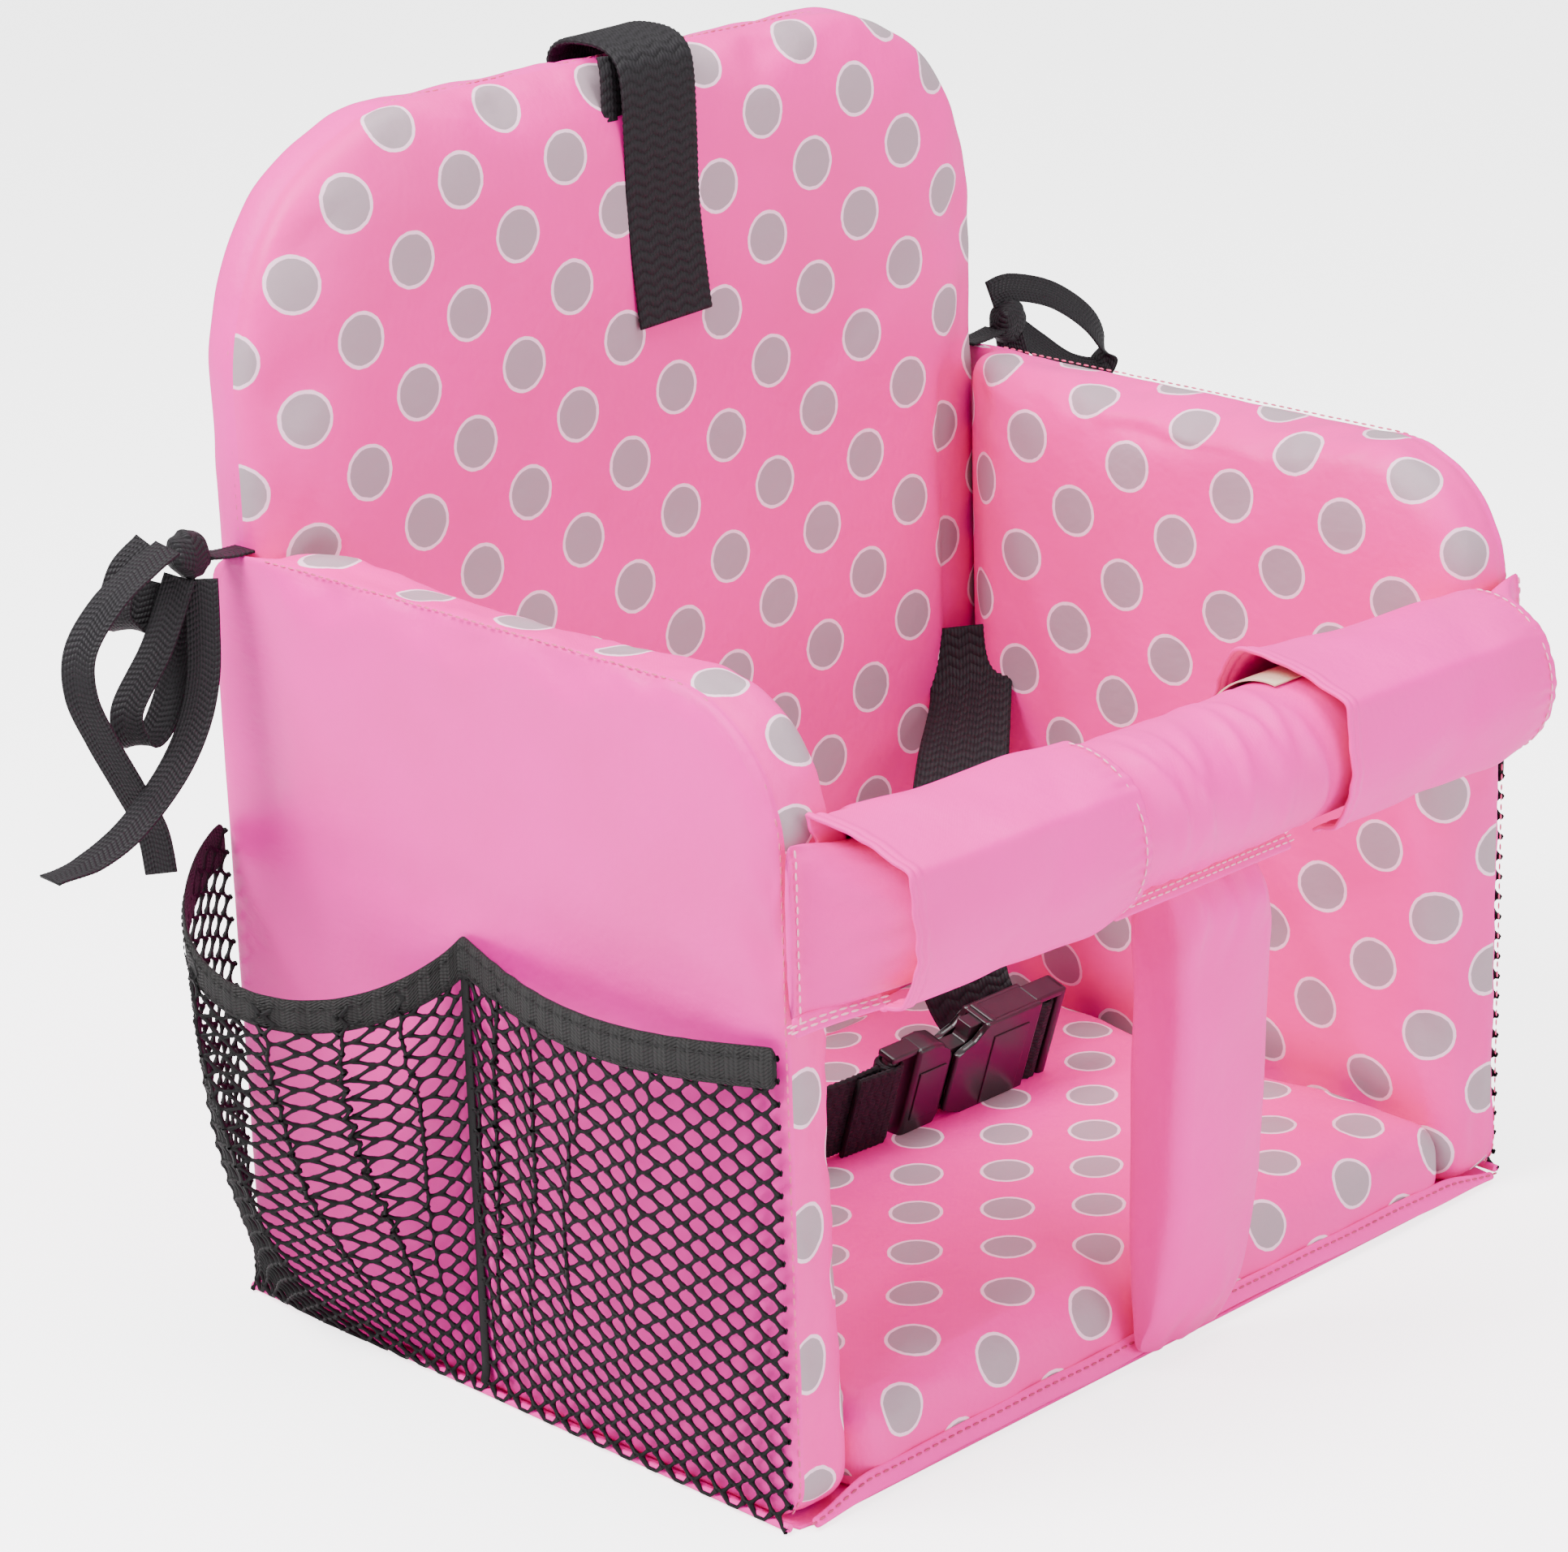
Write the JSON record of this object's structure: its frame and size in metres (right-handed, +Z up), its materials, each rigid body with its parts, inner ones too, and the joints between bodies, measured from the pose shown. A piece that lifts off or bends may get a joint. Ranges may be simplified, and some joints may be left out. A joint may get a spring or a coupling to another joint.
{
  "type": "booster seat",
  "caption": "Soft folding booster seat with padded back and sides, front rail with crotch pad, lap belt, top strap, tie ribbons and mesh side pockets.",
  "frame": {"origin": "centre of the seat's underside, on the surface it rests on", "axes": "+Z up, -Y towards the front of the seat, +X to the right of someone who faces the front"},
  "size_m": [0.4827, 0.2897, 0.3788],
  "materials": {
    "dotted_fabric": "satin coated polyester, pink with grey dots ringed in pale pink",
    "plain_fabric": "satin coated polyester, plain pink",
    "foam": "soft open foam",
    "board": "stiff sheet, hidden inside",
    "webbing": "ribbed black webbing",
    "ribbon": "ribbed black tape",
    "mesh": "knotted black net",
    "elastic": "black woven elastic",
    "buckle_plastic": "moulded black plastic, slightly shiny",
    "loop_tape": "beige loop tape",
    "hook_tape": "black hook tape"
  },
  "bodies": {
    "seat": {"seat_cover_top": "dotted_fabric", "seat_cover_bottom": "plain_fabric", "seat_foam": "foam", "seat_board": "board", "seam_front": "plain_fabric", "seam_rear": "plain_fabric", "seam_left": "plain_fabric", "seam_right": "plain_fabric", "belt_left": "webbing", "belt_right": "webbing", "buckle_socket": "buckle_plastic"},
    "back": {"back_cover_front": "dotted_fabric", "back_cover_rear": "plain_fabric", "back_foam": "foam", "back_board": "board", "strap_anchor": "webbing", "strap_under_leaf": "webbing", "strap_loop_tape": "hook_tape"},
    "top_strap": {"strap_leaf": "webbing", "strap_hook_tape": "hook_tape"},
    "side_left": {"side_left_cover_inner": "dotted_fabric", "side_left_cover_outer": "plain_fabric", "side_left_foam": "foam", "side_left_board": "board", "pocket_left_mesh": "mesh", "pocket_left_binding": "elastic", "tie_left_knot": "ribbon", "tie_left_loops": "ribbon", "tie_left_tail_long": "ribbon", "tie_left_tail_short": "ribbon", "stub_left_cover": "plain_fabric", "stub_left_foam": "foam", "stub_left_loop_tape": "loop_tape"},
    "side_right": {"side_right_cover_inner": "dotted_fabric", "side_right_cover_outer": "plain_fabric", "side_right_foam": "foam", "side_right_board": "board", "pocket_right_mesh": "mesh", "pocket_right_binding": "elastic", "tie_right_knot": "ribbon", "tie_right_loops": "ribbon", "tie_right_tail_long": "ribbon", "tie_right_tail_short": "ribbon", "stub_right_cover": "plain_fabric", "stub_right_foam": "foam"},
    "rail": {"rail_cover": "plain_fabric", "rail_foam": "foam", "rail_rod": "board", "rail_loop_tape": "loop_tape", "crotch_cover": "plain_fabric", "crotch_foam": "foam"},
    "wrap_left": {"wrap_left": "plain_fabric", "wrap_left_hook_tape": "hook_tape"},
    "wrap_right": {"wrap_right": "plain_fabric", "wrap_right_hook_tape": "hook_tape"},
    "plug": {"buckle_plug": "buckle_plastic"},
    "prong_upper": {"prong_upper": "buckle_plastic"},
    "prong_lower": {"prong_lower": "buckle_plastic"}
  },
  "joints": [
    {"name": "back_fold", "type": "hinge", "parent": "seat", "child": "back", "pos_m": [0, 0.1308, 0.0018], "axis": [-1, 0, 0], "range_deg": [0, 90], "deforming": ["belt_right"]},
    {"name": "side_left_fold", "type": "hinge", "parent": "seat", "child": "side_left", "pos_m": [-0.1668, 0, 0.0018], "axis": [0, -1, 0], "range_deg": [0, 85]},
    {"name": "side_right_fold", "type": "hinge", "parent": "seat", "child": "side_right", "pos_m": [0.1668, 0, 0.0018], "axis": [0, 1, 0], "range_deg": [0, 85]},
    {"name": "rail_swing", "type": "hinge", "parent": "seat", "child": "rail", "pos_m": [0, -0.1218, 0.0018], "axis": [1, 0, 0], "range_deg": [0, 75]},
    {"name": "wrap_left_open", "type": "hinge", "parent": "rail", "child": "wrap_left", "pos_m": [0, -0.1432, 0.16314], "axis": [1, 0, 0], "range_deg": [0, 100], "deforming": ["wrap_left", "wrap_left_hook_tape"]},
    {"name": "wrap_right_open", "type": "hinge", "parent": "side_right", "child": "wrap_right", "pos_m": [0, -0.1432, 0.16314], "axis": [1, 0, 0], "range_deg": [0, 100], "deforming": ["wrap_right", "wrap_right_hook_tape"]},
    {"name": "top_strap_flip", "type": "hinge", "parent": "back", "child": "top_strap", "pos_m": [0.005, 0.129, 0.378], "axis": [-1, 0, 0], "range_deg": [0, 150]},
    {"name": "buckle_release", "type": "slide", "parent": "seat", "child": "plug", "axis": [-1, 0, 0], "range_m": [0, 0.03], "deforming": ["belt_left"]},
    {"name": "prong_upper_squeeze", "type": "hinge", "parent": "plug", "child": "prong_upper", "pos_m": [0.019, -0.00146, 0.05865], "axis": [0, 0.9511, 0.309], "range_deg": [0, 7], "stiffness_Nm_per_rad": 0.02, "deforming": ["prong_upper"]},
    {"name": "prong_lower_squeeze", "type": "hinge", "parent": "plug", "child": "prong_lower", "pos_m": [0.019, 0.00546, 0.03735], "axis": [0, -0.9511, -0.309], "range_deg": [0, 7], "stiffness_Nm_per_rad": 0.02, "deforming": ["prong_lower"]}
  ],
  "couplings": [
    {"joint": "prong_lower_squeeze", "follows": "prong_upper_squeeze", "ratio": 1}
  ]
}
